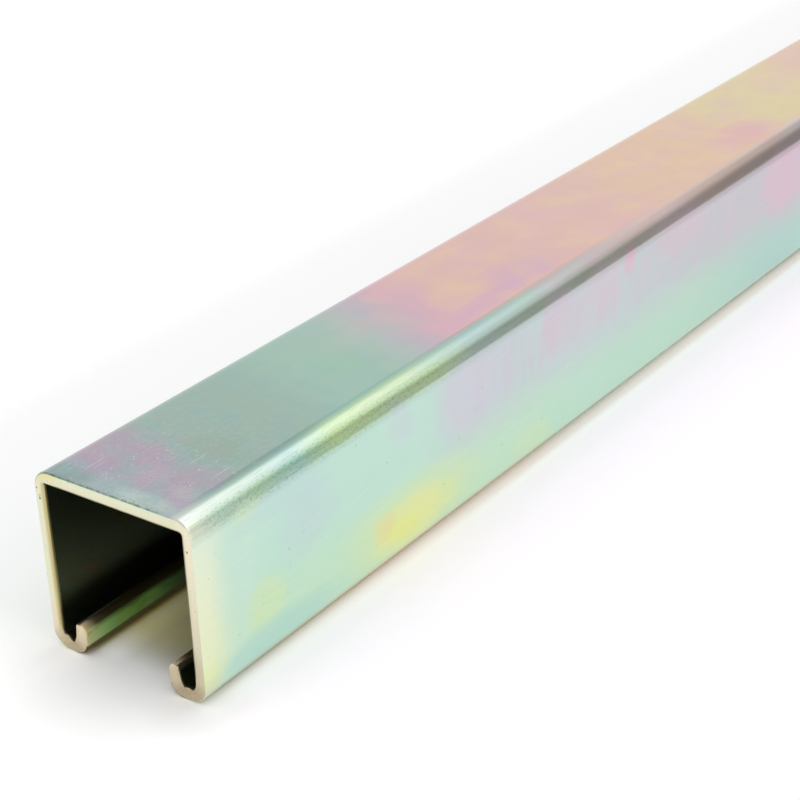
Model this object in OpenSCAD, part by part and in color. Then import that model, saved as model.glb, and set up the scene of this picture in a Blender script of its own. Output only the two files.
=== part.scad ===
// Strut channel: one length of cold-rolled steel channel with a plain back. Its
// two side walls turn in at the open side and end in lips that stand up inside,
// for a channel nut to seat on. The channel lies on its open side: X runs across
// it, Y along it and Z from the slot up to the back. The origin is on the floor,
// at the middle of the width and of the length.

/* [Section] */
// Width over the two side walls
channel_w = 41.3; // [30:0.1:62]
// Height from the slot face to the back
channel_h = 41.3; // [20:0.1:83]
// Thickness of the steel strip
wall_t = 2.65; // [1.5:0.05:3.5]
// Width of each flange, from the outside of its wall to the slot
flange_w = 9.55; // [7.5:0.05:17]
// Height of each lip, from the slot face to its tip
lip_h = 7.1; // [5:0.1:12]

/* [Bends and edges] */
// Inside radius of the bends at the back and between wall and flange
bend_r = 1.5; // [0.5:0.1:3.5]
// Inside radius of the tighter bend between flange and lip
lip_bend_r = 0.6; // [0.2:0.1:2.5]
// Radius on the edge of the lip's tip that faces the slot
slot_edge_r = 1.1; // [0.2:0.1:2]
// Radius on the edge of the lip's tip that faces the wall
wall_edge_r = 0.5; // [0.2:0.1:2]

/* [Length] */
// Length of the piece as cut
channel_l = 609.6; // [300:0.1:3048]

/* [Hidden] */
$fn = 96;

// The strip keeps its thickness round each bend.
bend_outer_r = bend_r + wall_t;
lip_bend_outer_r = lip_bend_r + wall_t;
// Each edge radius takes at most its own half of the lip.
slot_tip_r = min(slot_edge_r, wall_t / 2);
wall_tip_r = min(wall_edge_r, wall_t / 2);

wall_x = channel_w / 2;
slot_x = wall_x - flange_w;

// A straight stretch of strip, given by two opposite corners of its section.
module leg(low, high) {
    translate(low) square(high - low);
}

// A quarter turn of strip about its bend's centre, which starts at the angle
// `start`, counted from +X.
module bend(centre, inner_r, start) {
    outer_r = inner_r + wall_t;
    translate(centre)
        rotate(start)
            intersection() {
                difference() {
                    circle(outer_r);
                    circle(inner_r);
                }
                square(outer_r);
            }
}

// The lip above its bend, with both edges of its tip rounded.
module lip() {
    wall_side_x = slot_x + wall_t;
    slot_tip = [slot_x + slot_tip_r, lip_h - slot_tip_r];
    wall_tip = [wall_side_x - wall_tip_r, lip_h - wall_tip_r];
    leg([slot_x, lip_bend_outer_r], [slot_tip.x, slot_tip.y]);
    leg([slot_tip.x, lip_bend_outer_r], [wall_tip.x, lip_h]);
    leg([wall_tip.x, lip_bend_outer_r], [wall_side_x, wall_tip.y]);
    translate(slot_tip) circle(slot_tip_r);
    translate(wall_tip) circle(wall_tip_r);
}

// The section on the +X side, followed from the middle of the back to the lip.
module half_section() {
    bend_x = wall_x - bend_outer_r;
    lip_bend_x = slot_x + lip_bend_outer_r;
    top_bend_z = channel_h - bend_outer_r;
    leg([0, channel_h - wall_t], [bend_x, channel_h]);
    bend([bend_x, top_bend_z], bend_r, 0);
    leg([wall_x - wall_t, bend_outer_r], [wall_x, top_bend_z]);
    bend([bend_x, bend_outer_r], bend_r, 270);
    leg([lip_bend_x, 0], [bend_x, wall_t]);
    bend([lip_bend_x, lip_bend_outer_r], lip_bend_r, 180);
    lip();
}

module strut_channel() {
    color([0.75, 0.8, 0.68])
        rotate([90, 0, 0])
            linear_extrude(height = channel_l, center = true) {
                half_section();
                mirror([1, 0]) half_section();
            }
}

strut_channel();
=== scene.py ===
"""Strut channel in iridescent zinc plating, on a pale studio floor.

One mesh, channel_skin, stands for the CAD solid. It has the same section and
length, with bends that set in gently, broken edges and a slight burr at both
cut ends. Its point attribute "strip" says where a point lies on the steel
strip, in millimetres: x round the section from the middle of the back,
positive towards +X, y along the channel from its near end, and z through the
strip, 0 on the outside and 1 on the inside. The materials are drawn in it.
"""

import math
from collections import namedtuple

import bpy
from mathutils import Matrix, Vector, noise


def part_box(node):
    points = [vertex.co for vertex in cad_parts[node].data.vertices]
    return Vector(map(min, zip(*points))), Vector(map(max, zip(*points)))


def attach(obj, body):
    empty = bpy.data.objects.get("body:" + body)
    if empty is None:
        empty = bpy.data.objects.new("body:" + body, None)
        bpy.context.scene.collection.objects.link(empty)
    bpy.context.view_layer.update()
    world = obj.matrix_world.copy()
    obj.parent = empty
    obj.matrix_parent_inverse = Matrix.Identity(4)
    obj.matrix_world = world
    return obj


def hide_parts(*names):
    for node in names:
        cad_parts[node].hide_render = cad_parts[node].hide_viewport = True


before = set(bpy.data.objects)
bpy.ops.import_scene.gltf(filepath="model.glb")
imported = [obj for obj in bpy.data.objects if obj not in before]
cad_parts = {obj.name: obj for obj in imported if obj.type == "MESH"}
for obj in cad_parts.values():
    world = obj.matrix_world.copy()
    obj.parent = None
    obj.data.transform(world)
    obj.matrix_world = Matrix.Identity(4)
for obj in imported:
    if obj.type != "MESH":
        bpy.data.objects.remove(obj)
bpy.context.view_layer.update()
low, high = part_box("strut_channel")

MM = 0.001

# The section, as the CAD solid has it.
WIDTH = high.x - low.x
HEIGHT = high.z - low.z
LENGTH = high.y - low.y
WALL_T = 2.65 * MM
FLANGE_W = 9.55 * MM
LIP_H = 7.1 * MM
BEND_R = 1.5 * MM + WALL_T
LIP_BEND_R = 0.6 * MM + WALL_T

# The rounding of the lip's tip, across and up, on its slot side and wall side.
SLOT_TIP = (1.2 * MM, 2.0 * MM)
WALL_TIP = (0.2 * MM, 0.2 * MM)
TIP_HOLLOW = 0.1 * MM

# Where a back bend sets in and runs out, the strip curves gently first.
EASE_LENGTH = 1.2 * MM
EASE_TURN = math.radians(2.5)

# The bend from wall to flange is rolled in two passes with a short flat between.
PASS_R = 2.9 * MM
PASS_FLAT = 1.1 * MM
FIRST_PASS_TURN = math.radians(50)

# The back bends are tighter inside than their outer side asks for.
INNER_BACK_R = 0.6 * MM
INNER_BACK_LEAD = 6

# On the inner side that bend is a tall oval fillet. Past it the flange dips to a
# crease, and the lip leaves the crease in a slope that steepens to the lip's foot.
FILLET = (1.4 * MM, 2.2 * MM)
CREASE_X = 15.1 * MM
CREASE_Z = 2.25 * MM
LIP_SLOPE = Vector((14.5 * MM, 2.9 * MM))
LIP_FOOT = Vector((14.15 * MM, 4.0 * MM))

# The cut ends: the broken outer edge and the rolled-over inner edge.
EDGE_R = 0.3 * MM
INNER_EDGE_R = 0.75 * MM
INNER_EDGE_INSET = 0.35 * MM

# The share of it that the inner edge is rolled over by, all round and more on
# the walls, which start and end at these places round the section in mm.
WEAR_ALL_ROUND = 0.3
WEAR_LEFT = 0.7
WEAR_RIGHT = 0.55
WALL_STARTS = (17, 23)
WALL_ENDS = (55.5, 59.5)

# Metal that the shear dragged up in a groove by the near cut: how high it
# stands, and where it rises and ends round the section in mm.
LEFT_DRAG = (0.7 * MM, (58.6, 60.2), (62.2, 63.4))
RIGHT_DRAG = (0.45 * MM, (61.4, 64.0), (64.6, 66.6))
DRAG_ENDS = (0.5 * MM, 4 * MM)

# The burr's height, and the cells and shares of the noise that it follows.
BURR = 0.16 * MM
BURR_CELL = 2.2 * MM
FINE_BURR_CELL = 0.7 * MM
BURR_LEVEL, COARSE_BURR, FINE_BURR = 0.45, 0.6, 0.3

QUARTER = math.pi / 2

# Steps round the section, part by part. Beside a bend there is a short one.
LEAD = 1 * MM
BACK_STEPS = 8
EASE_STEPS = 4
BACK_BEND_STEPS = 18
WALL_STEPS = 12
FIRST_PASS_STEPS, PASS_FLAT_STEPS, LAST_PASS_STEPS = 9, 2, 8
FLANGE_STEPS = 4
LIP_BEND_STEPS = 12
LIP_STEPS = 4
TIP_STEPS = 8


# ---- camera

LENS = 84.58
CAMERA_TARGET = Vector((0, low.y + 94.6 * MM, 21.2 * MM))
CAMERA_DISTANCE = 435.4 * MM
CAMERA_AZIMUTH = math.radians(36.43)
CAMERA_ELEVATION = math.radians(26.66)
CAMERA_ROLL = math.radians(-2.05)


def placed(name, data):
    """A new object in the scene."""
    thing = bpy.data.objects.new(name, data)
    bpy.context.scene.collection.objects.link(thing)
    return thing


def make_camera():
    """A camera at the right of the near end, looking down along the channel."""
    data = bpy.data.cameras.new("camera")
    data.lens = LENS
    data.sensor_width = 36
    data.clip_start = 0.01
    camera = placed("camera", data)
    away = Vector((
        math.sin(CAMERA_AZIMUTH) * math.cos(CAMERA_ELEVATION),
        -math.cos(CAMERA_AZIMUTH) * math.cos(CAMERA_ELEVATION),
        math.sin(CAMERA_ELEVATION),
    ))
    turn = away.to_track_quat("Z", "Y").to_matrix().to_4x4()
    roll = Matrix.Rotation(CAMERA_ROLL, 4, "Z")
    place = Matrix.Translation(CAMERA_TARGET + away * CAMERA_DISTANCE)
    camera.matrix_world = place @ turn @ roll
    bpy.context.scene.camera = camera


# ---- node graphs

class Graph:
    """A node tree that is written down one value at a time."""

    def __init__(self, tree):
        self.tree = tree
        tree.nodes.clear()

    def feed(self, socket, value):
        """Links or sets a socket. A colour of three values is a screen one, to 255."""
        if isinstance(value, bpy.types.NodeSocket):
            self.tree.links.new(value, socket)
        elif socket.type == "RGBA" and len(value) == 3:
            socket.default_value = tint(*value)
        else:
            socket.default_value = value

    def node(self, kind, **settings):
        node = self.tree.nodes.new("ShaderNode" + kind)
        for name, value in settings.items():
            setattr(node, name, value)
        return node

    def made(self, kind, values, sockets=None, output=0, **settings):
        """The output of a new node whose sockets, or first sockets, have these values."""
        node = self.node(kind, **settings)
        for socket, value in zip(sockets or range(len(values)), values):
            self.feed(node.inputs[socket], value)
        return node.outputs[output]

    def math(self, operation, *values):
        return self.made("Math", values, operation=operation)

    def plus(self, first, second):
        return self.math("ADD", first, second)

    def minus(self, first, second):
        return self.math("SUBTRACT", first, second)

    def vector(self, operation, *values):
        return self.made("VectorMath", values, operation=operation)

    def split(self, vector):
        node = self.node("SeparateXYZ")
        self.feed(node.inputs[0], vector)
        return node.outputs

    def join(self, x, y, z=0.0):
        return self.made("CombineXYZ", (x, y, z))

    def even(self, level):
        """The grey of a level."""
        return self.join(level, level, level)

    def step(self, value, start, end):
        """0 up to start, 1 from end on, and smooth between them."""
        return self.made("MapRange", (value, start, end), interpolation_type="SMOOTHSTEP")

    def span(self, value, start, end, low_value, high_value):
        """From low_value up to start to high_value from end on, in a straight line."""
        return self.made("MapRange", (value, start, end, low_value, high_value))

    def fall(self, value, start, end):
        """1 up to start, 0 from end on."""
        return self.minus(1.0, self.step(value, start, end))

    def times(self, *values):
        result = values[0]
        for value in values[1:]:
            result = self.math("MULTIPLY", result, value)
        return result

    def inside(self, axes, region, *shares):
        """The shares' product inside a region of (axis, where it starts, where it is full)."""
        share = self.times(1.0, *shares)
        for axis, start, full in region:
            edge = self.step if start < full else self.fall
            share = self.times(share, edge(axes[axis], min(start, full), max(start, full)))
        return share

    def mix(self, factor, first, second, blend="MIX"):
        values = (factor, first, second)
        return self.made("Mix", values, (0, 6, 7), 2, data_type="RGBA", blend_type=blend)

    def blend(self, factor, first, second):
        """A number between first and second."""
        return self.made("Mix", (factor, first, second), (0, 2, 3), data_type="FLOAT")

    def ramp(self, value, end, stops):
        """The colour at value on a scale from 0 to end, from (value, colour) stops."""
        node = self.node("ValToRGB")
        self.feed(node.inputs[0], self.math("DIVIDE", value, end))
        elements = node.color_ramp.elements
        elements.remove(elements[1])
        for index, (place, colour) in enumerate(stops):
            element = elements[0] if index == 0 else elements.new(place / end)
            element.position = place / end
            element.color = tint(*colour)
        return node.outputs[0]

    def noise(self, vector, across, along, detail, roughness, shift):
        """Noise with cells `across` mm wide round the section and `along` mm long."""
        scaled = self.vector("MULTIPLY", vector, (1 / across, 1 / along, 1.0))
        moved = self.vector("ADD", scaled, (shift, 2 * shift, 5 * shift))
        sockets = ("Vector", "Scale", "Detail", "Roughness")
        return self.made("TexNoise", (moved, 1.0, detail, roughness), sockets)

    def output(self, kind, shader):
        self.feed(self.node(kind).inputs[0], shader)


def new_material(name):
    material = bpy.data.materials.new(name)
    material.use_nodes = True
    return material, Graph(material.node_tree)


def tint(red, green, blue):
    """A colour from its 0-255 screen values, as the shader's linear colour."""
    def linear(value):
        value = value / 255
        return value / 12.92 if value <= 0.04045 else ((value + 0.055) / 1.055) ** 2.4
    return (linear(red), linear(green), linear(blue), 1.0)


def grey(level):
    return (level, level, level, 1.0)


# ---- studio

# Brightness of the studio's parts. A colour lit by the dome shows as written.
DOME = 1.0
SOFTBOX = 1.85
DARK_ROOM = 0.38

# The overhead softbox hangs ahead of the camera. Its light grows from the dark
# room's to its own between these slopes, as rise over distance ahead.
SOFTBOX_FACES = math.radians(5)
SOFTBOX_SLOPES = (0.43, 1.19)
LEAST_AHEAD = 0.05

# The edges of the studio's parts, in degrees. Azimuth 0 is along the channel to
# its far end, positive to the right of it.
ROOM = (("azimuth", -24, -6), ("azimuth", 54, 38))
SOFTBOX_SIDE = (("azimuth", -40, -22),)
FRONT = (("azimuth", -70, -58), ("azimuth", 70, 58), ("elevation", 68, 60))


def make_world():
    """A white dome, an overhead softbox, and a dark room past the far end.

    The camera sees plain white.
    """
    world = bpy.data.worlds.new("studio")
    world.use_nodes = True
    bpy.context.scene.world = world
    graph = Graph(world.node_tree)
    x, y, z = graph.split(graph.node("TexCoord").outputs["Generated"])
    axes = {
        "azimuth": graph.math("DEGREES", graph.math("ARCTAN2", x, y)),
        "elevation": graph.math("DEGREES", graph.math("ARCSINE", z)),
    }
    ahead_x = graph.times(x, math.sin(SOFTBOX_FACES))
    ahead_y = graph.times(y, math.cos(SOFTBOX_FACES))
    ahead = graph.math("MAXIMUM", graph.plus(ahead_x, ahead_y), LEAST_AHEAD)
    slope = graph.math("DIVIDE", z, ahead)
    room = graph.span(slope, *SOFTBOX_SLOPES, DARK_ROOM, SOFTBOX)
    lit = graph.blend(graph.inside(axes, SOFTBOX_SIDE), DOME, graph.math("MAXIMUM", room, DOME))
    level = graph.blend(graph.inside(axes, ROOM), lit, room)
    level = graph.blend(graph.inside(axes, FRONT), DOME, level)
    level = graph.blend(graph.node("LightPath").outputs["Is Camera Ray"], level, 1.0)
    graph.output("OutputWorld", graph.made("Background", (grey(1.0), level)))


# The table top: its edge lies this far from the channel's box on the right, and
# far enough on the other sides to be out of every view.
TABLE_RIGHT = 80 * MM
TABLE_REACH = 1.2
FLOOR_GAP = 0.05 * MM

# How white the table is for the light that falls on it, for the camera, and in
# the metal, where all but the strip under the channel glows a little.
TABLE_WHITE = 0.9
TABLE_FOR_CAMERA = 1.15
TABLE_GLOW = 0.6
GLOW_EDGE = 2 * MM

# How the camera sees the table, in mm: to_left and to_right go outward from the
# walls, along from the near cut, and corner from CORNER_AT. On the left it is
# dimmer up to a soft edge.
LEFT_SHADE = 0.2
LEFT_REGION = (
    ("to_left", -6, 0), ("to_left", 130, 75),
    ("along", -20, 8), ("along", LENGTH / MM + 250, LENGTH / MM - 110),
)

# On the right it is dimmer and a little pink, and right beside the wall it is
# warmer and dimmer further along.
RIGHT_SHADE = (0.96, 0.91, 0.96, 1.0)
RIGHT_REGION = (("to_right", 0.5, 6), ("along", -8, 6))
CONTACT_SHADE = (0.88, 0.81, 0.79, 1.0)
CONTACT_REGION = (("to_right", -3, -1), ("to_right", 2.6, 0.6), ("along", 10, 130))

# Around the foot of the right wall's cut end it is dimmer too.
CORNER_AT = (high.x / MM, -2.0, 0.0)
CORNER_SHADE = 0.15
CORNER_REGION = (("corner", 14, 0),)

# Under the channel the light is strongest by the left lip, weak under it, and
# behind the cut it falls off to the right: from one place across to another, and
# from one strength to another.
UNDER_CHANNEL = (
    ("x", low.x / MM + 1, low.x / MM + 7), ("x", high.x / MM - 1, high.x / MM - 7),
    ("along", 0, 5), ("along", LENGTH / MM, LENGTH / MM - 5),
)
BY_LIP = (-11, -4, 1.4, 1.0)
UNDER_LIP = (-14, -11, 0.4, 1.0)
TO_RIGHT = (-9, 4, 1.0, 0.55)
TO_RIGHT_REGION = (("along", 2, 12),)

# Further in it is painted yellow light, bounced from the plating above, and painted brown shadow
# under the left lip.
SLOT_YELLOW_LIGHT = (0.88, 0.8, 0.46, 1.0)
YELLOW_REGION = (("along", 3, 16),)
LIP_SHADOW = (0.7, 0.66, 0.25, 1.0)
LIP_SHADOW_REGION = (("x", -10.6, -13),)


def table_axes(graph):
    """Where a point of the table lies, in mm."""
    place = graph.node("TexCoord").outputs["Object"]
    x, y, _ = graph.split(graph.vector("MULTIPLY", place, (1 / MM, 1 / MM, 1 / MM)))
    along = graph.minus(y, low.y / MM)
    from_corner = graph.vector("SUBTRACT", graph.join(x, along), CORNER_AT)
    return {
        "x": x,
        "along": along,
        "to_left": graph.minus(low.x / MM, x),
        "to_right": graph.minus(x, high.x / MM),
        "corner": graph.made("VectorMath", (from_corner,), output="Value", operation="LENGTH"),
    }


def table_shade(graph):
    """How the camera sees the white table beside and under the channel."""
    axes = table_axes(graph)
    dimmed = graph.inside(axes, LEFT_REGION, LEFT_SHADE)
    beside = graph.even(graph.minus(1.0, dimmed))
    beside = graph.mix(graph.inside(axes, RIGHT_REGION), beside, RIGHT_SHADE)
    contact = graph.inside(axes, CONTACT_REGION)
    beside = graph.mix(contact, beside, CONTACT_SHADE, "MULTIPLY")
    dimmed = graph.inside(axes, CORNER_REGION, CORNER_SHADE)
    beside = graph.mix(dimmed, beside, grey(0.0))

    by_lip, under_lip, at_right = (
        graph.span(axes["x"], *light) for light in (BY_LIP, UNDER_LIP, TO_RIGHT)
    )
    at_right = graph.blend(graph.inside(axes, TO_RIGHT_REGION), 1.0, at_right)
    under = graph.even(graph.times(by_lip, under_lip, at_right))
    # Painted yellow light bounced from the plating, and painted brown shadow under the left lip.
    for region, tone in ((YELLOW_REGION, SLOT_YELLOW_LIGHT), (LIP_SHADOW_REGION, LIP_SHADOW)):
        under = graph.mix(graph.inside(axes, region), under, tone, "MULTIPLY")
    return graph.mix(graph.inside(axes, UNDER_CHANNEL), beside, under)


def floor_material():
    """White for the light, shaded for the camera, and glowing a little in the metal."""
    material, graph = new_material("floor_white")
    light_path = graph.node("LightPath")
    seen = graph.mix(1.0, table_shade(graph), grey(TABLE_FOR_CAMERA), "MULTIPLY")
    white = graph.mix(light_path.outputs["Is Camera Ray"], grey(TABLE_WHITE), seen)
    across = graph.split(graph.node("TexCoord").outputs["Object"])[0]
    aside = graph.math("ABSOLUTE", graph.minus(across, (low.x + high.x) / 2))
    in_the_open = graph.step(aside, WIDTH / 2 - GLOW_EDGE, WIDTH / 2 + GLOW_EDGE)
    share = graph.times(light_path.outputs["Is Glossy Ray"], in_the_open, TABLE_GLOW)
    shaded = graph.made("BsdfDiffuse", (white,))
    glowing = graph.node("Emission").outputs[0]
    graph.output("OutputMaterial", graph.made("MixShader", (share, shaded, glowing)))
    return material


def make_floor():
    """A plain white table top that keeps the channel's soft shadow."""
    left, right = low.x - TABLE_REACH, high.x + TABLE_RIGHT
    front, back = low.y - TABLE_REACH, high.y + TABLE_REACH
    height = low.z - FLOOR_GAP
    corners = [(left, front), (right, front), (right, back), (left, back)]
    mesh = bpy.data.meshes.new("floor")
    mesh.from_pydata([(x, y, height) for x, y in corners], [], [(0, 1, 2, 3)])
    mesh.materials.append(floor_material())
    floor = placed("floor", mesh)


# ---- section

class Station:
    """One place on the section: its outer and inner point, and how far round it lies."""

    def __init__(self, outer, inner, outer_way, inner_way, girth):
        self.outer = outer
        self.inner = inner
        self.outer_way = outer_way
        self.inner_way = inner_way
        self.girth = girth

    def mirrored(self):
        flip = Vector((-1, 1))
        return Station(
            self.outer * flip, self.inner * flip,
            self.outer_way * flip, self.inner_way * flip, -self.girth,
        )


def heading(turned):
    """The way along the strip after turning down from +X by this angle."""
    return Vector((math.cos(turned), -math.sin(turned)))


def outward(turned):
    return Vector((math.sin(turned), math.cos(turned)))


def follow(pieces, start):
    """Points and turned angles along pieces of (length, turn, steps)."""
    place = start
    turned = 0.0
    travelled = 0.0
    found = [(place, turned, travelled)]
    for length, turn, steps in pieces:
        for _ in range(steps):
            part = turn / steps
            chord = length / steps
            if part:
                chord *= math.sin(part / 2) / (part / 2)
            place = place + heading(turned + part / 2) * chord
            turned += part
            travelled += length / steps
            found.append((place, turned, travelled))
    return found


def corner_reach(pieces):
    """How far a quarter turn reaches along its first heading, and along its last."""
    end = follow(pieces, Vector((0, 0)))[-1][0]
    return end.x, -end.y


def half_section():
    """Stations on the +X side, from the middle of the back to the lip's tip."""
    bend_turn = QUARTER - 2 * EASE_TURN
    ease = (EASE_LENGTH, EASE_TURN, EASE_STEPS)
    back_corner = [ease, (BEND_R * bend_turn, bend_turn, BACK_BEND_STEPS), ease]
    last_turn = QUARTER - FIRST_PASS_TURN
    flange_corner = [
        (PASS_R * FIRST_PASS_TURN, FIRST_PASS_TURN, FIRST_PASS_STEPS),
        (PASS_FLAT, 0, PASS_FLAT_STEPS),
        (PASS_R * last_turn, last_turn, LAST_PASS_STEPS),
    ]
    lip_corner = [(LIP_BEND_R * QUARTER, QUARTER, LIP_BEND_STEPS)]
    back_ahead, back_down = corner_reach(back_corner)
    flange_ahead, flange_down = corner_reach(flange_corner)
    flat_back = WIDTH / 2 - back_ahead
    flat_wall = HEIGHT - back_down - flange_ahead
    flat_flange = FLANGE_W - flange_down - LIP_BEND_R
    back = [(flat_back - LEAD, 0, BACK_STEPS), (LEAD, 0, 1)]
    wall = [(LEAD, 0, 1), (flat_wall - 3 * LEAD, 0, WALL_STEPS), (2 * LEAD, 0, 1)]
    upper = back + back_corner + wall
    flange = [(flat_flange, 0, FLANGE_STEPS)]
    path = follow(upper + flange_corner + flange + lip_corner, Vector((0, HEIGHT)))
    stations = []
    for outer, turned, travelled in path:
        way = outward(turned)
        stations.append(Station(outer, outer - way * WALL_T, way, -way, travelled))
    bent = stations[count_steps(back):count_steps(back + back_corner) + 1]
    shaped = inner_back_corner(bent[0].inner, bent[-1].inner, len(bent) - 1)
    for station, inner in zip(bent, shaped):
        station.inner = inner
    set_inner_ways(bent)
    shaped = inner_corner(count_steps(flange_corner), count_steps(lip_corner))
    for station, inner in zip(stations[count_steps(upper):], shaped):
        station.inner = inner
    stations += lip_stations(stations[-1])
    set_inner_ways(stations[count_steps(upper):-TIP_STEPS])
    return stations


def count_steps(pieces):
    return sum(steps for _, _, steps in pieces)


def inner_back_corner(start, end, steps):
    """Inner points of a back bend: straight on, round a tight curve, and straight on."""
    edge_x, edge_z = WIDTH / 2 - WALL_T, HEIGHT - WALL_T
    centre = Vector((edge_x - INNER_BACK_R, edge_z - INNER_BACK_R))
    lead = INNER_BACK_LEAD
    bend_start, bend_end = Vector((centre.x, edge_z)), Vector((edge_x, centre.y))
    points = [start.lerp(bend_start, count / lead) for count in range(lead)]
    for count in range(steps - 2 * lead + 1):
        angle = QUARTER * count / (steps - 2 * lead)
        points.append(centre + outward(angle) * INNER_BACK_R)
    return points + [bend_end.lerp(end, (count + 1) / lead) for count in range(lead)]


def inner_corner(fillet_steps, lip_steps):
    """Inner points from the wall through the fillet and the crease to the lip's foot."""
    wide, tall = FILLET
    wall_x = WIDTH / 2 - WALL_T
    points = []
    for count in range(fillet_steps + 1):
        angle = QUARTER * count / fillet_steps
        x = wall_x - wide * (1 - math.cos(angle))
        points.append(Vector((x, WALL_T + tall * (1 - math.sin(angle)))))
    start = points[-1].x
    for count in range(1, FLANGE_STEPS + 1):
        share = count / FLANGE_STEPS
        x = start + share * (CREASE_X - start)
        points.append(Vector((x, WALL_T - share ** 2 * (WALL_T - CREASE_Z))))
    crease = points[-1]
    for count in range(1, lip_steps + 1):
        share = count / lip_steps
        rising = LIP_SLOPE.lerp(LIP_FOOT, share)
        points.append(crease.lerp(LIP_SLOPE, share).lerp(rising, share))
    return points


def set_inner_ways(stations):
    """Points each station's inner way square to the line of the inner points."""
    for before, station, after in zip(stations, stations[1:], stations[2:]):
        along = (after.inner - before.inner).normalized()
        station.inner_way = Vector((along.y, -along.x))


def around(centre, size, way):
    """The point of an oval in this direction from its centre."""
    return centre + Vector((way.x * size[0], way.y * size[1]))


def lip_stations(foot):
    """The straight of the lip above its bend, and its rounded tip."""
    slot_x = foot.outer.x
    wall_x = slot_x + WALL_T
    slot_centre = Vector((slot_x + SLOT_TIP[0], LIP_H - SLOT_TIP[1]))
    wall_centre = Vector((wall_x - WALL_TIP[0], LIP_H - WALL_TIP[1]))
    left, right = Vector((-1, 0)), Vector((1, 0))
    stations = []
    for count in range(1, LIP_STEPS + 1):
        share = count / LIP_STEPS
        outer = foot.outer.lerp(Vector((slot_x, slot_centre.y)), share)
        inner = foot.inner.lerp(Vector((wall_x, wall_centre.y)), share)
        girth = foot.girth + outer.y - foot.outer.y
        stations.append(Station(outer, inner, left, right, girth))
    for count in range(1, TIP_STEPS):
        angle = QUARTER * count / (TIP_STEPS - 1)
        outer_way = Vector((-math.cos(angle), math.sin(angle)))
        inner_way = Vector((math.cos(angle), math.sin(angle)))
        outer = around(slot_centre, SLOT_TIP, outer_way)
        inner = around(wall_centre, WALL_TIP, inner_way)
        girth = stations[-1].girth + (outer - stations[-1].outer).length
        stations.append(Station(outer, inner, outer_way, inner_way, girth))
    last = stations[-1]
    third = (last.inner - last.outer) / 3
    up = Vector((0, 1))
    hollow = Vector((0, -TIP_HOLLOW))
    stations.append(Station(
        last.outer + third + hollow, last.inner - third + hollow, up, up, last.girth + third.x,
    ))
    return stations


# ---- channel mesh

# Places through the strip for the cut end's own points, 0 outside to 1 inside,
# and how far the cut face ripples there.
CAP_DEPTHS = (0.05, 0.25, 0.5, 0.75, 0.95)
CAP_RIPPLE = 0.03 * MM
CAP_RIPPLE_CELL = 1.6 * MM

# Rings round the cut edges, past them, and evenly between.
EDGE_STEPS = 4
SETTLING = (0.15 * MM, 0.6 * MM, 1.5 * MM, 3 * MM, 5 * MM, 8 * MM)
INNER_SETTLED = INNER_EDGE_R + 0.1 * MM
FIRST_RING = 12 * MM
RING_SPACING = 5 * MM


def ring_places():
    """Each ring as its outer place along and inset, its inner ones, and its end.

    The end is -1 on the near cut edge, 1 on the far one, and 0 between them.
    """
    edge = []
    for count in range(EDGE_STEPS + 1):
        angle = QUARTER * count / EDGE_STEPS
        out_of, into = 1 - math.sin(angle), 1 - math.cos(angle)
        outer = (EDGE_R * into, EDGE_R * out_of)
        edge.append(outer + (INNER_EDGE_R * into, INNER_EDGE_INSET * out_of))
    settling = [EDGE_R + extra for extra in SETTLING]
    settling = [(place, 0.0, max(place, INNER_SETTLED), 0.0) for place in settling]
    evenly = LENGTH - 2 * FIRST_RING
    count = round(evenly / RING_SPACING)
    middle = [FIRST_RING + evenly * index / count for index in range(count + 1)]
    near = [(item, -1) for item in edge] + [(item, 0) for item in settling]
    far = [((LENGTH - out, inset, LENGTH - ins, inner_inset), -end)
           for (out, inset, ins, inner_inset), end in reversed(near)]
    return near + [((place, 0.0, place, 0.0), 0) for place in middle] + far


def share_of_way(value, start, end):
    """0 up to start, 1 from end on, and in a straight line between them."""
    return min(1.0, max(0.0, (value - start) / (end - start)))


def edge_wear(girth):
    """How far the shear rolled the inner edge over: most on the two walls."""
    side = abs(girth) / MM
    on_wall = share_of_way(side, *WALL_STARTS) - share_of_way(side, *WALL_ENDS)
    return WEAR_ALL_ROUND + (WEAR_LEFT if girth < 0 else WEAR_RIGHT) * on_wall


def dragged_metal(girth, along):
    """How high metal stands in the grooves by the near cut, where the shear dragged it."""
    side = abs(girth) / MM
    height, rises, ends = LEFT_DRAG if girth < 0 else RIGHT_DRAG
    height *= share_of_way(side, *rises) - share_of_way(side, *ends)
    return height * (1 - share_of_way(along, *DRAG_ENDS))


def burr_height(girth, end):
    """How far the sheared edge stands out at this place round the section."""
    coarse = noise.noise(Vector((girth / BURR_CELL, 7.0 * end, 0)))
    fine = noise.noise(Vector((girth / FINE_BURR_CELL, 3.0 * end, 5)))
    return BURR * max(0.0, BURR_LEVEL + COARSE_BURR * coarse + FINE_BURR * fine)


class Skin:
    """Gathers the channel's points, their places on the strip, and its faces."""

    def __init__(self):
        self.points = []
        self.strip = []
        self.faces = []
        self.slots = []

    def point(self, x, along, z, girth, depth):
        self.points.append((x, low.y + along, z))
        self.strip.append((girth / MM, along / MM, depth))
        return len(self.points) - 1

    def face(self, corners, slot):
        self.faces.append(corners)
        self.slots.append(slot)


OUTER, INNER, CUT = 0, 1, 2


def add_ring(skin, stations, ring, end):
    """One ring of outer and inner points, pulled in where the cut edge is rounded."""
    outer_along, outer_inset, inner_along, inner_inset = ring
    outer, inner = [], []
    for station in stations:
        place = station.outer - station.outer_way * outer_inset
        outer.append(skin.point(place.x, outer_along, place.y, station.girth, 0.0))
        worn = edge_wear(station.girth)
        raised = dragged_metal(station.girth, outer_along)
        place = station.inner + station.inner_way * (raised - inner_inset * worn)
        proud = end * burr_height(station.girth, end) * inner_inset / INNER_EDGE_INSET
        straight = outer_along + (inner_along - outer_along) * worn
        inner.append(skin.point(place.x, straight + proud, place.y, station.girth, 1.0))
    return outer, inner


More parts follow.
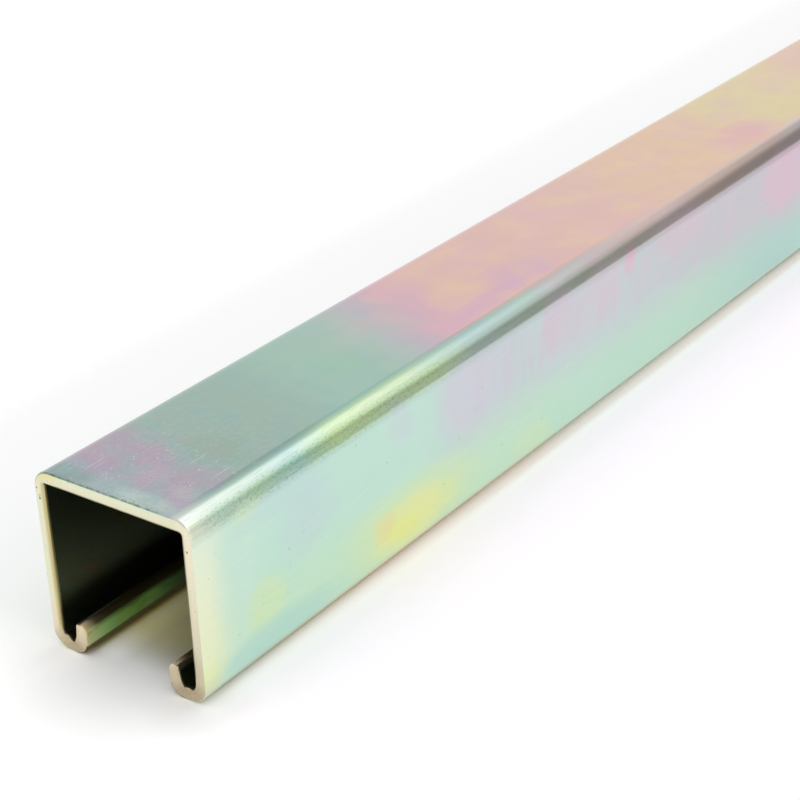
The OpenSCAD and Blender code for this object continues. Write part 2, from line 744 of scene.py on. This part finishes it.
def join_rings(skin, one, other, inner_slot):
    """Faces between two rings: the outside, the inside and both lip tips."""
    outer_a, inner_a = one
    outer_b, inner_b = other
    last = len(outer_a) - 1
    for index in range(last):
        after = index + 1
        skin.face((outer_a[index], outer_b[index], outer_b[after], outer_a[after]), OUTER)
        skin.face((inner_a[index], inner_a[after], inner_b[after], inner_b[index]), inner_slot)
    skin.face((outer_a[last], outer_b[last], inner_b[last], inner_a[last]), OUTER)
    skin.face((outer_a[0], inner_a[0], inner_b[0], outer_b[0]), OUTER)


def add_cap(skin, stations, ring, along, end):
    """The cut end: a grid of faces from the outer to the inner edge."""
    outer, inner = ring
    columns = []
    for index, station in enumerate(stations):
        start = Vector(skin.points[outer[index]])
        finish = Vector(skin.points[inner[index]])
        column = [outer[index]]
        for depth in CAP_DEPTHS:
            place = start.lerp(finish, depth)
            cell = Vector((place.x, place.z, 3.0 * end)) / CAP_RIPPLE_CELL
            rippled = along + end * CAP_RIPPLE * noise.noise(cell)
            column.append(skin.point(place.x, rippled, place.z, station.girth, depth))
        column.append(inner[index])
        columns.append(column)
    for one, other in zip(columns, columns[1:]):
        for step in range(len(one) - 1):
            corners = (one[step], other[step], other[step + 1], one[step + 1])
            skin.face(corners if end < 0 else corners[::-1], CUT)


def make_channel():
    """The whole channel as one closed mesh."""
    half = half_section()
    stations = [station.mirrored() for station in reversed(half[1:])] + half
    skin = Skin()
    rings = ring_places()
    made = [add_ring(skin, stations, ring, end) for ring, end in rings]
    for index, (one, other) in enumerate(zip(made, made[1:])):
        on_edge = rings[index][1] and rings[index + 1][1]
        join_rings(skin, one, other, CUT if on_edge else INNER)
    add_cap(skin, stations, made[0], 0.0, -1)
    add_cap(skin, stations, made[-1], LENGTH, 1)

    mesh = bpy.data.meshes.new("channel_skin")
    mesh.from_pydata(skin.points, [], skin.faces)
    strip = mesh.attributes.new("strip", "FLOAT_VECTOR", "POINT")
    for item, value in zip(strip.data, skin.strip):
        item.vector = value
    mesh.polygons.foreach_set("material_index", skin.slots)
    mesh.polygons.foreach_set("use_smooth", [True] * len(mesh.polygons))
    mesh.validate()
    return placed("channel_skin", mesh)


# ---- plating

# Colours, by their screen values from 0 to 255.
BLUE_GREY = (164, 182, 184)
LAVENDER = (172, 162, 174)
SAGE = (154, 178, 166)
SEA_GREEN = (156, 188, 174)
MIST = (166, 186, 181)
LILAC = (184, 176, 185)
PINK = (208, 170, 182)
PEACH = (216, 178, 170)
APRICOT = (218, 184, 158)
KHAKI = (214, 197, 150)
MINT = (199, 231, 217)
LEAF_MINT = (203, 234, 207)
SILVER_LILAC = (206, 214, 219)
ROSE_GREY = (205, 205, 212)
ROSE = (217, 192, 206)
YELLOW = (236, 239, 166)
TEAL = (142, 178, 174)
PLUM = (184, 156, 177)
SLATE = (132, 152, 154)
PALE_SAGE = (186, 204, 188)
DARK_TEAL = (90, 124, 125)
DARK_OLIVE = (85, 92, 55)
# A pale tone for the painted highlight on the lips' upper edges.
LIP_EDGE_HIGHLIGHT = (248, 236, 206)
PALE_GREY = (220, 220, 215)

# Each track gives the colours along one lane of the strip, by the distance from
# the near end in mm.
BACK_TRACK = (
    (4, BLUE_GREY), (9, LAVENDER), (18, LAVENDER), (24, SAGE), (46, SAGE),
    (60, SEA_GREEN), (72, SEA_GREEN), (82, MIST), (91, LILAC), (101, PINK), (116, PEACH),
    (180, PEACH), (206, APRICOT), (250, APRICOT), (264, KHAKI), (302, KHAKI), (318, APRICOT),
    (365, PEACH), (400, PINK), (425, LILAC), (448, SEA_GREEN), (500, SAGE), (530, MIST),
    (556, PINK), (575, APRICOT), (598, KHAKI),
)
WALL_HIGH_TRACK = (
    (14, (206, 234, 218)), (22, MINT), (72, MINT), (94, SILVER_LILAC),
    (107, SILVER_LILAC), (118, (202, 216, 217)), (140, SILVER_LILAC), (180, (202, 210, 214)),
    (212, (205, 203, 210)), (240, (206, 201, 209)), (258, ROSE), (300, ROSE_GREY),
    (350, SILVER_LILAC), (400, MINT), (470, LEAF_MINT), (520, MINT), (560, SILVER_LILAC),
    (609, MINT),
)
WALL_LOW_TRACK = (
    (0, (208, 234, 214)), (12, (208, 235, 212)), (22, LEAF_MINT), (100, LEAF_MINT),
    (140, (198, 231, 211)), (200, (194, 227, 208)), (252, (183, 216, 209)),
    (290, (188, 222, 208)), (330, LEAF_MINT), (420, MINT), (480, (220, 232, 178)),
    (525, LEAF_MINT), (609, MINT),
)
BEND_HIGH_TRACK = (
    (0, (202, 204, 200)), (6, (190, 200, 191)), (20, (181, 197, 186)), (34, (175, 197, 194)),
    (46, (191, 209, 174)), (68, (192, 208, 176)), (82, (180, 201, 183)), (98, (173, 195, 192)),
    (122, (174, 195, 188)), (150, (195, 181, 184)), (180, (208, 185, 179)),
    (230, (204, 184, 172)), (330, ROSE_GREY), (400, SILVER_LILAC), (460, (190, 205, 196)),
)
BEND_LOW_TRACK = (
    (0, (224, 227, 206)), (6, (192, 217, 196)), (20, (180, 209, 178)), (34, (164, 205, 190)),
    (46, (195, 221, 163)), (66, (197, 223, 178)), (82, (204, 229, 180)), (98, (192, 213, 203)),
    (122, (190, 206, 190)), (150, (199, 200, 188)), (178, (206, 196, 186)),
    (215, (206, 186, 177)), (250, (192, 177, 172)), (330, ROSE_GREY), (400, SILVER_LILAC),
    (460, (190, 205, 196)),
)
# The wall's lower bend is browner than the wall: a painted reflection of the floor's contact
# shadow.
LOW_BEND_REFLECTION_TRACK = (
    (0, (206, 202, 166)), (10, (188, 197, 168)), (25, (199, 199, 162)), (60, (222, 203, 158)),
    (110, (224, 214, 178)), (150, (208, 225, 200)), (200, (216, 229, 206)),
    (260, (202, 218, 194)), (400, (194, 192, 162)), (609, (192, 190, 160)),
)
LIP_TRACK = (
    (0, (246, 236, 182)), (1.5, (242, 242, 178)), (3.5, (206, 236, 156)), (7, (172, 226, 134)),
    (10, (166, 204, 104)), (14, (152, 206, 96)), (20, (156, 206, 110)), (23, (124, 178, 94)),
    (27, (106, 138, 80)), (32, (100, 132, 86)), (60, (140, 180, 120)), (110, (120, 170, 110)),
    (200, (160, 180, 130)), (320, (190, 180, 150)), (450, (150, 190, 140)),
    (609, (150, 185, 120)),
)
# The lip's bend under its slot face: painted shade, dark brown where it turns under towards the
# shadowed floor.
SHADED_LIP_BEND = (122, 104, 22)
LIP_TIP_TRACK = (
    (0, (246, 234, 204)), (1.4, (228, 212, 174)), (3.2, (150, 134, 96)), (7, (118, 102, 68)),
    (609, (112, 96, 66)),
)

# The pale plating beside a cut, by the distance round the section in mm.
CREAM_TRACK = (
    (24, (232, 242, 220)), (36, (238, 244, 212)), (50, (239, 243, 204)), (54, (234, 240, 190)),
    (58, (212, 222, 190)),
)

# Where the tracks' scales end, along the strip and round it.
TRACK_END = 610
GIRTH_END = 75

# How far the back's colours lean forward, in mm along for each mm across.
BACK_LEAN = 0.2

# The lanes' limits round the section, in mm from the middle of the back.
BEND_LANE = (14.8, 16.8)
LOW_HALF_LANE = (18.9, 19.9)
WALL_LANE = (21.4, 24)
LOW_LANE = (34, 51)
LOW_BEND_LANE = (56.2, 59.2)
LIP_BEND_LANE = (63, 65.5)
LIP_LANE = (68.9, 69.5)
TIP_LANE = (72.5, 73.2)

# A noise is written as Graph.noise takes it: its cells' width and length in mm,
# detail, roughness and shift. How far colours wander from their places, in mm,
# and the noise that leads them:
TRACK_DRIFT = (6, (14, 22, 3, 0.55, 3.1))
GIRTH_DRIFT = (2, (9, 30, 3, 0.55, 8.7))
CREAM_DRIFT = (1.2, (5, 5, 3, 0.55, 4.4))
DRIFT_GAIN = 2.6

BUMP_STRENGTH = 0.6

# How a patch fades, by the square of the distance in half sizes.
PATCH_FADE = (0.05, 1.5)

# A cloud shows another tone where its noise rises through the two levels, inside
# its region.
Cloud = namedtuple("Cloud", "noise levels tone strength region")


def strip_axes(graph):
    """Where the shaded point lies on the steel strip: round it, along it and through it."""
    place = graph.node("Attribute", attribute_name="strip").outputs["Vector"]
    girth, along, depth = graph.split(place)
    return {
        "place": place,
        "girth": girth,
        "side": graph.math("ABSOLUTE", girth),
        "along": along,
        "depth": depth,
        "from_end": graph.math("MINIMUM", along, graph.minus(LENGTH / MM, along)),
    }


def clouded(graph, axes, colour, clouds, *shares):
    """The colour with clouds laid over it."""
    for cloud in clouds:
        share = graph.step(graph.noise(axes["place"], *cloud.noise), *cloud.levels)
        share = graph.inside(axes, cloud.region, share, cloud.strength, *shares)
        colour = graph.mix(share, colour, cloud.tone)
    return colour


def patched(graph, girth, along, colour, patches):
    """The colour with soft ovals of other tones laid over it."""
    for middle, half_size, tone, strength in patches:
        across = graph.math("DIVIDE", graph.minus(girth, middle[0]), half_size[0])
        lengthwise = graph.math("DIVIDE", graph.minus(along, middle[1]), half_size[1])
        squared = graph.plus(graph.times(across, across), graph.times(lengthwise, lengthwise))
        share = graph.times(graph.fall(squared, *PATCH_FADE), strength)
        colour = graph.mix(share, colour, tone)
    return colour


def drift(graph, axes, amount, cells):
    """Noise as a distance in mm, from -amount to amount or so."""
    centred = graph.minus(graph.noise(axes["place"], *cells), 0.5)
    return graph.times(centred, DRIFT_GAIN * amount)


def metal(graph, colour, roughness, height):
    """Plated steel from a colour, a roughness and a bump height in mm."""
    normal = graph.made("Bump", (BUMP_STRENGTH, MM, height), ("Strength", "Distance", "Height"))
    sockets = ("Metallic", "Base Color", "Roughness", "Normal")
    shader = graph.made("BsdfPrincipled", (1.0, colour, roughness, normal), sockets)
    graph.output("OutputMaterial", shader)


# Patches that stand out from the tracks: their place round the section and
# along, half width and half length, colour and strength.
PATCHES = (
    ((50.5, 70), (9.5, 26), (216, 235, 188), 0.8),
    ((23.5, 14), (2.5, 4), (214, 236, 198), 0.7),
    ((51.5, 70), (6.5, 15), YELLOW, 0.85),
    ((49.5, 60.5), (3.2, 4.6), (238, 222, 162), 0.5),
    ((52.5, 67), (2.5, 7), (236, 238, 146), 0.6),
    ((46.5, 19), (6, 7), (214, 236, 190), 0.8),
    ((31, 92), (9, 13), (213, 212, 223), 0.8),
    ((34, 33), (8, 9), (203, 220, 222), 0.5),
    ((27, 66), (6, 5), (208, 218, 222), 0.5),
    ((27, 131), (8, 8.5), (218, 202, 216), 0.7),
    ((28, 151), (8, 11), (218, 203, 214), 0.6),
    ((25, 166), (4, 3), (230, 188, 204), 0.7),
    ((25, 192), (7, 16), (219, 200, 210), 0.7),
    ((31, 252), (10, 12), (222, 192, 208), 0.8),
    ((54, 118), (4, 10), (212, 234, 192), 0.6),
    ((26, 27), (5, 16), (198, 222, 222), 0.5),
    ((55, 22), (4.5, 21), (182, 221, 213), 0.65),
    ((6, 26), (9, 6), (146, 172, 150), 0.7),
    ((9, 133), (9, 10), (208, 170, 184), 0.8),
    ((3, 113), (8, 9), (220, 184, 164), 0.6),
    ((11.7, 120), (3.9, 22), (208, 167, 188), 0.85),
    ((2, 68), (6, 6), (152, 192, 166), 0.5),
    ((12, 183), (4, 9), (219, 180, 170), 0.7),
    ((10, 252), (9, 14), (217, 168, 170), 0.85),
)

# The same for patches by the near cut, which keep their places exactly.
NEAR_PATCHES = (
    ((-13, 2.5), (7, 4), (138, 156, 154), 0.85),
    ((7, 2), (8, 3), (184, 202, 194), 0.7),
    ((-11, 8), (8, 4), (172, 156, 176), 0.75),
    ((1, 11), (5, 4), (184, 166, 182), 0.6),
    ((-14, 12), (5, 4), (184, 160, 176), 0.6),
    ((12, 8.5), (4, 2.5), (184, 180, 182), 0.6),
)

LIP_CLOUD = Cloud((3, 6, 2, 0.5, 51), (0.42, 0.62), (126, 116, 74), 0.3, (("along", 5, 12),))


def track_colours(graph, axes):
    """The lanes' colours, blended round the section."""
    girth, side, along = axes["girth"], axes["side"], axes["along"]
    place = graph.plus(along, drift(graph, axes, *TRACK_DRIFT))
    sideways = drift(graph, axes, *GIRTH_DRIFT)
    leaning = graph.plus(place, graph.times(girth, BACK_LEAN))

    bend_high = graph.ramp(place, TRACK_END, BEND_HIGH_TRACK)
    bend_low = graph.ramp(place, TRACK_END, BEND_LOW_TRACK)
    bend = graph.mix(graph.step(side, *LOW_HALF_LANE), bend_high, bend_low)
    on_right_bend = graph.times(graph.step(side, *BEND_LANE), graph.step(girth, 0.0, 1.0))
    colour = graph.mix(on_right_bend, graph.ramp(leaning, TRACK_END, BACK_TRACK), bend)
    wall_high = graph.ramp(place, TRACK_END, WALL_HIGH_TRACK)
    wall_low = graph.ramp(place, TRACK_END, WALL_LOW_TRACK)
    colour = graph.mix(graph.step(side, *WALL_LANE), colour, wall_high)
    colour = graph.mix(graph.step(graph.plus(side, sideways), *LOW_LANE), colour, wall_low)
    colour = patched(graph, graph.plus(girth, sideways), place, colour, PATCHES)

    lip = graph.ramp(along, TRACK_END, LIP_TRACK)
    lower_lanes = (
        # The lower bend's painted reflection of the floor's contact shadow.
        (LOW_BEND_LANE, graph.ramp(place, TRACK_END, LOW_BEND_REFLECTION_TRACK)),
        # The lip's bend in painted shade.
        (LIP_BEND_LANE, SHADED_LIP_BEND),
        (LIP_LANE, clouded(graph, axes, lip, [LIP_CLOUD])),
        (TIP_LANE, graph.ramp(along, TRACK_END, LIP_TIP_TRACK)),
    )
    for lane, tone in lower_lanes:
        colour = graph.mix(graph.step(side, *lane), colour, tone)
    return colour


# Clouds over the back and rose fingers over the high part of the walls, further
# along, but not in the green stretch.
GREEN_STRETCH = (("along", 427.5, 452.5), ("along", 557.5, 532.5))
FURTHER_BACK = (("along", 60, 130), ("side", 18, 14))
HIGH_WALL = (("along", 60, 130), ("side", 19, 29), ("side", 43, 33), ("along", 420, 260))
FURTHER_CLOUDS = (
    Cloud((13, 16, 2, 0.5, 12), (0.4, 0.7), (214, 176, 184), 0.35, FURTHER_BACK),
    Cloud((12, 14, 2, 0.5, 17), (0.4, 0.7), (224, 196, 152), 0.35, FURTHER_BACK),
    Cloud((22, 4, 1, 0.4, 21), (0.4, 0.7), (219, 198, 212), 0.35, HIGH_WALL),
)

# Clouds over the back by the near end: plum under the patches there, and teal,
# slate and pale sage over them.
NEARER = (("along", 95, 35), ("side", 17, 15))
WORN = NEARER + (("along", 65, 25),)
PLUM_CLOUD = Cloud((9, 6, 1, 0.5, 33), (0.36, 0.7), PLUM, 0.42, NEARER + (("along", 40, 14),))
NEARER_CLOUDS = (
    Cloud((7, 8, 1.5, 0.5, 37), (0.4, 0.68), TEAL, 0.45, NEARER),
    Cloud((1.1, 1.5, 3, 0.7, 25), (0.42, 0.66), SLATE, 0.17, WORN),
    Cloud((1.4, 1.7, 3, 0.7, 28), (0.5, 0.7), PALE_SAGE, 0.14, WORN),
)


def mottled(graph, axes, colour):
    """Soft clouds of pink and apricot further along, of teal and plum by the near end."""
    not_green = graph.minus(1.0, graph.inside(axes, GREEN_STRETCH))
    colour = clouded(graph, axes, colour, FURTHER_CLOUDS, not_green)
    colour = clouded(graph, axes, colour, [PLUM_CLOUD])
    colour = patched(graph, axes["girth"], axes["along"], colour, NEAR_PATCHES)
    return clouded(graph, axes, colour, NEARER_CLOUDS)


# The cream is full by CREAM_FULL from a cut, and reaches in a little further down
# the wall, but less by CREAM_LOSS at its foot.
CREAM_FULL = 1.0
CREAM_LANE = (("side", 20, 25), ("side", 64.5, 59.5))
CREAM_REACH = (24, 50, 11, 12)
CREAM_FOOT = (51, 58)
CREAM_LOSS = 6

# The dark broken edge of the back, partly dark chromate and partly a painted dark reflection, and
# the grains beside it.
DARK_EDGE_AND_REFLECTION = (("from_end", 0.5, 0.2), ("girth", -20, -17), ("girth", 13.5, 10.5))
BROKEN = (1.6, 1.6, 3, 0.6, 14)
BROKEN_SHARES = (0.35, 0.65, 0, 0.8)
BY_EDGE = (("from_end", -0.1, 0.7), ("from_end", 1.7, 0.9), ("girth", -19, -15), ("girth", 15, 11))
END_GRAINS = Cloud((0.55, 0.45, 1, 0.5, 71), (0.52, 0.62), (122, 142, 112), 0.5, BY_EDGE)


def with_end_tints(graph, axes, colour):
    """Cream plating beside both cuts, and a dark broken edge, partly a painted dark reflection."""
    side = axes["side"]
    end_edge = graph.plus(axes["from_end"], drift(graph, axes, *CREAM_DRIFT))
    lost = graph.times(graph.step(side, *CREAM_FOOT), CREAM_LOSS)
    reach = graph.minus(graph.span(side, *CREAM_REACH), lost)
    cream = graph.inside(axes, CREAM_LANE, graph.fall(end_edge, CREAM_FULL, reach))
    colour = graph.mix(cream, colour, graph.ramp(side, GIRTH_END, CREAM_TRACK))
    # The dark broken edge: partly dark chromate, partly a painted dark reflection.
    broken = graph.span(graph.noise(axes["place"], *BROKEN), *BROKEN_SHARES)
    colour = graph.mix(graph.inside(axes, DARK_EDGE_AND_REFLECTION, broken), colour, DARK_OLIVE)
    return clouded(graph, axes, colour, [END_GRAINS])


# A painted dark reflection beside the bend, broken into dashes, and deepest near the cut.
DASHES = (0.35, 7, 3, 0.65, 31)
DARK_REFLECTION_LANE = (("girth", 14.5, 15.3), ("girth", 18.2, 16))
DARK_REFLECTION_BREAKS = (0.35, 0.6, 0.75, 1)
DARK_REFLECTION_DEEP = (("along", 7, 18), ("along", 50, 38))
DARK_REFLECTION_STARTS = (2, 10)
DARK_REFLECTION_FADES = (90, 200)
DARK_REFLECTION_TINT = (222, 242, 240)
DEEP_REFLECTION_TINT = (236, 238, 236)

# A dim line below the bend, and its strength along the strip.
BELOW_BEND = (("girth", 21.6, 23), ("girth", 24.8, 23.4))
BELOW_SHARES = (130, 250, 0.3, 1)
BELOW_TINT = (234, 231, 234)

# Dark dashes and grains on the bend. Pale specks and scuffs in crowds, scratches
# on the back by the ends, and pits in the walls.
ON_BEND = (("side", 16.25, 17.75), ("side", 24.25, 22.75), ("along", 130, 50))
LOW_ON_BEND = ON_BEND + (("side", 18.5, 19.5), ("along", 1, 8))
BEND_CLOUDS = (
    Cloud(DASHES, (0.5, 0.7), DARK_TEAL, 0.2, ON_BEND),
    Cloud((0.4, 0.9, 2, 0.6, 35), (0.5, 0.66), DARK_TEAL, 0.28, LOW_ON_BEND),
)
CROWDS = (4, 4, 2, 0.5, 43)
CROWD_LEVELS = (0.46, 0.62)
BACK_BY_END = (("side", 16.5, 15), ("from_end", 50, 8))
CROWDED = (
    Cloud((0.4, 0.4, 0, 0.5, 41), (0.7, 0.78), PALE_GREY, 0.8, BACK_BY_END),
    Cloud((1.1, 0.6, 2, 0.6, 45), (0.64, 0.74), PALE_GREY, 0.45, BACK_BY_END),
)
BACK_AT_END = (("side", 16.5, 15), ("from_end", 36, 16))
SCATTERED = (
    Cloud((0.3, 14, 2, 0.4, 47), (0.68, 0.76), PALE_GREY, 0.5, BACK_AT_END),
    Cloud((0.8, 0.8, 0, 0.5, 53), (0.84, 0.88), DARK_OLIVE, 0.4, (("side", 23, 25),)),
)


def with_marks(graph, axes, colour):
    """A painted dark reflection beside the bend, dashes, specks, scratches and pits."""
    along = axes["along"]
    # The painted dark reflection beside the bend, in dashes, deepest near the cut.
    dashes = graph.noise(axes["place"], *DASHES)
    dark_reflection_line = graph.inside(axes, DARK_REFLECTION_LANE, graph.span(dashes, *DARK_REFLECTION_BREAKS))
    deep = graph.inside(axes, DARK_REFLECTION_DEEP)
    share = graph.blend(deep, graph.fall(along, *DARK_REFLECTION_FADES), 1.0)
    share = graph.times(dark_reflection_line, share, graph.step(along, *DARK_REFLECTION_STARTS))
    below = graph.inside(axes, BELOW_BEND, graph.span(along, *BELOW_SHARES))
    deep = graph.times(dark_reflection_line, deep)
    for share, tone in ((share, DARK_REFLECTION_TINT), (deep, DEEP_REFLECTION_TINT), (below, BELOW_TINT)):
        colour = graph.mix(share, colour, tone, "MULTIPLY")
    colour = clouded(graph, axes, colour, BEND_CLOUDS)
    crowd = graph.step(graph.noise(axes["place"], *CROWDS), *CROWD_LEVELS)
    colour = clouded(graph, axes, colour, CROWDED, crowd)
    return clouded(graph, axes, colour, SCATTERED)


# The grain of the rolled surface: faint streaks, its dullness, and the heights
# of its peel and its drawn lines in mm.
STREAKS = (0.5, 12, 3, 0.6, 1.3)
STREAK_LEVELS = (0.97, 1.03)
DULLNESS = (0.8, 12, 3, 0.6, 2.2)
PEEL = (0.6, 1.4, 2, 0.5, 6)
PEEL_HEIGHT = 0.004
DRAWN_LINES = (0.25, 40, 2, 0.5, 9)
LINE_HEIGHT = 0.0015

# How rough the outside is, from its shiniest to its dullest places, and the
# lip's tip, which is dullest by the near cut.
OUTSIDE_ROUGHNESS = (0.16, 0.28)
TIP_ROUGHNESS = (0.5, 0.9)
TIP_DULL_ENDS = (1, 3.8)
TIP_DULL_SIDE = (71.2, 72.8)


def outer_plating():
    """Yellow-passivated zinc: soft drifting colours, drawn along the channel."""
    material, graph = new_material("plating_outside")
    axes = strip_axes(graph)
    place = axes["place"]
    colour = track_colours(graph, axes)
    for layer in (mottled, with_end_tints, with_marks):
        colour = layer(graph, axes, colour)
    streak = graph.blend(graph.noise(place, *STREAKS), *STREAK_LEVELS)
    colour = graph.mix(1.0, colour, graph.even(streak), "MULTIPLY")

    roughness = graph.blend(graph.noise(place, *DULLNESS), *OUTSIDE_ROUGHNESS)
    tip = graph.blend(graph.fall(axes["along"], *TIP_DULL_ENDS), *TIP_ROUGHNESS)
    roughness = graph.blend(graph.step(axes["side"], *TIP_DULL_SIDE), roughness, tip)
    peel = graph.times(graph.noise(place, *PEEL), PEEL_HEIGHT)
    lines = graph.times(graph.noise(place, *DRAWN_LINES), LINE_HEIGHT)
    metal(graph, colour, roughness, graph.plus(peel, lines))
    return material


# The inside: dull olive clouds, darker than the outside partly from its thin plating and partly as
# painted shade of the hollow, and a painted highlight on the lips' upper edges by the near cut.
INSIDE_CLOUD = (8, 16, 3, 0.6, 5)
DULL_AND_SHADED_INSIDE_TONES = (
    (0.3, (126, 122, 84)), (0.5, (111, 124, 99)), (0.7, (130, 120, 91)),
)
LIP_EDGE_HIGHLIGHT_LANE = (("side", 70.9, 71.5), ("along", 22, 4))
LIP_EDGE_HIGHLIGHT_STRENGTH = 0.8
INSIDE_ROUGHNESS = (0.28, 0.42)
INSIDE_LINES = (0.3, 30, 2, 0.5, 9)
INSIDE_LINE_HEIGHT = 0.004


def inner_plating():
    """The inside of the channel, plated thinly and duller, with painted shade and a painted
    highlight.
    """
    material, graph = new_material("plating_inside")
    axes = strip_axes(graph)
    place = axes["place"]
    # Darker tones: partly duller thin plating, partly painted shade of the hollow.
    colour = graph.ramp(graph.noise(place, *INSIDE_CLOUD), 1.0, DULL_AND_SHADED_INSIDE_TONES)
    # A painted highlight along the lips' upper edges by the near cut.
    lip_edge_highlight = graph.inside(axes, LIP_EDGE_HIGHLIGHT_LANE, LIP_EDGE_HIGHLIGHT_STRENGTH)
    colour = graph.mix(lip_edge_highlight, colour, LIP_EDGE_HIGHLIGHT)
    roughness = graph.blend(graph.noise(place, *DULLNESS), *INSIDE_ROUGHNESS)
    height = graph.times(graph.noise(place, *INSIDE_LINES), INSIDE_LINE_HEIGHT)
    metal(graph, colour, roughness, height)
    return material


# The cut end's tones, by the level of its noise, and those of its browner foot.
CUT_CLOUD = (3, 1.2, 3, 0.6, 5)
CUT_TONES = (
    (0.3, (238, 226, 198)), (0.45, (232, 236, 206)), (0.58, (240, 234, 206)),
    (0.7, (240, 222, 206)),
)
FOOT = (("side", 54.5, 59.5), ("side", 70.5, 65.5))
FOOT_LEVELS = (0.35, 0.65)
FOOT_TONES = ((214, 202, 162), (218, 196, 178))

# More tones in the order they are laid, by region and strength: the right wall,
# the lips, above the foot, the left bend's outside, and the back's outside.
PALE_TONES = (
    ((("girth", 15, 21), ("girth", 53, 47)), 0.7, (252, 242, 216)),
    ((("side", 62, 69),), 1.0, (246, 230, 200)),
    ((("side", 47.5, 52.5), ("side", 60.5, 55.5)), 0.5, (242, 218, 192)),
)
OUTSIDE_TONES = (
    ((("girth", -22.5, -19.5), ("girth", -12.5, -15.5), ("depth", 0.8, 0.3)), 0.7,
     (236, 226, 160)),
    ((("side", 17, 13), ("depth", 0.5, 0.1)), 0.6, (224, 240, 210)),
)

# The inner edge is golden, most of all on the left wall, and has a painted shadow line along its
# rim.
GOLDEN = (212, 197, 138)
GOLDEN_DEPTH = (0.5, 1)
GOLDEN_SHARES = (0.2, 0.95)
LEFT_WALL = (("girth", -59.5, -54.5), ("girth", -17.5, -22.5))
SHADOW_RIM_TONES = (
    ((("girth", -16.5, -13.5), ("girth", 55.5, 52.5), ("depth", 0.86, 1)), 0.7,
     (92, 84, 76)),
)

# Pits in the near cut end, as place round the section, depth and radius in mm,
# and how a pit fades, by the square of the distance over that of its radius.
CUT_PITS = ((-25.3, 0.45, 0.35), (-24.6, 0.5, 0.2), (-23.1, 0.15, 0.25), (25.3, 0.6, 0.3))
PIT_FADE = (0.2, 1.4)
PIT_TONE = (90, 78, 60)
PIT_STRENGTH = 0.85
CUT_CLOUDS = (
    Cloud((0.5, 0.5, 1, 0.5, 61), (0.72, 0.77), DARK_OLIVE, 0.6, ()),
    Cloud((0.45, 0.35, 2, 0.6, 67), (0.5, 0.62), (150, 138, 100), 0.4, FOOT),
)

CUT_DULLNESS = (0.5, 0.5, 3, 0.6, 2.2)
CUT_ROUGHNESS = (0.3, 0.45)
CUT_GRAIN = (0.3, 0.3, 3, 0.6, 9)
CUT_GRAIN_HEIGHT = 0.02


def toned(graph, axes, colour, tones):
    """The colour with other tones laid over it inside their regions."""
    for region, strength, tone in tones:
        colour = graph.mix(graph.inside(axes, region, strength), colour, tone)
    return colour


def with_pits(graph, girth, through, colour):
    """The near cut end's own pits, dark and round."""
    for place, pit_depth, radius in CUT_PITS:
        across = graph.minus(girth, place)
        inward = graph.minus(through, pit_depth * WALL_T / MM)
        squared = graph.plus(graph.times(across, across), graph.times(inward, inward))
        pit = graph.fall(squared, *(share * radius ** 2 for share in PIT_FADE))
        colour = graph.mix(graph.times(pit, PIT_STRENGTH), colour, PIT_TONE)
    return colour


def cut_plating():
    """The sheared end: pale cream, golden on the left wall's inner edge, browner low down."""
    material, graph = new_material("plating_cut_end")
    axes = strip_axes(graph)
    through = graph.times(axes["depth"], WALL_T / MM)
    place = graph.join(axes["girth"], through, axes["along"])
    axes["place"] = place
    cloud = graph.noise(place, *CUT_CLOUD)
    colour = toned(graph, axes, graph.ramp(cloud, 1.0, CUT_TONES), PALE_TONES)
    foot = graph.mix(graph.step(cloud, *FOOT_LEVELS), *FOOT_TONES)
    colour = graph.mix(graph.inside(axes, FOOT), colour, foot)
    colour = toned(graph, axes, colour, OUTSIDE_TONES)
    golden = graph.blend(graph.inside(axes, LEFT_WALL), *GOLDEN_SHARES)
    golden = graph.times(graph.step(axes["depth"], *GOLDEN_DEPTH), golden)
    # The golden inner edge, then the painted shadow line along its rim.
    colour = toned(graph, axes, graph.mix(golden, colour, GOLDEN), SHADOW_RIM_TONES)
    colour = with_pits(graph, axes["girth"], through, colour)
    colour = clouded(graph, axes, colour, CUT_CLOUDS)
    roughness = graph.blend(graph.noise(place, *CUT_DULLNESS), *CUT_ROUGHNESS)
    height = graph.times(graph.noise(place, *CUT_GRAIN), CUT_GRAIN_HEIGHT)
    metal(graph, colour, roughness, height)
    return material


# ---- scene

make_camera()
make_world()
make_floor()

channel_skin = make_channel()
for plating in (outer_plating(), inner_plating(), cut_plating()):
    channel_skin.data.materials.append(plating)
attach(channel_skin, "root")
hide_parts("strut_channel")

bpy.context.scene.view_settings.view_transform = "Standard"
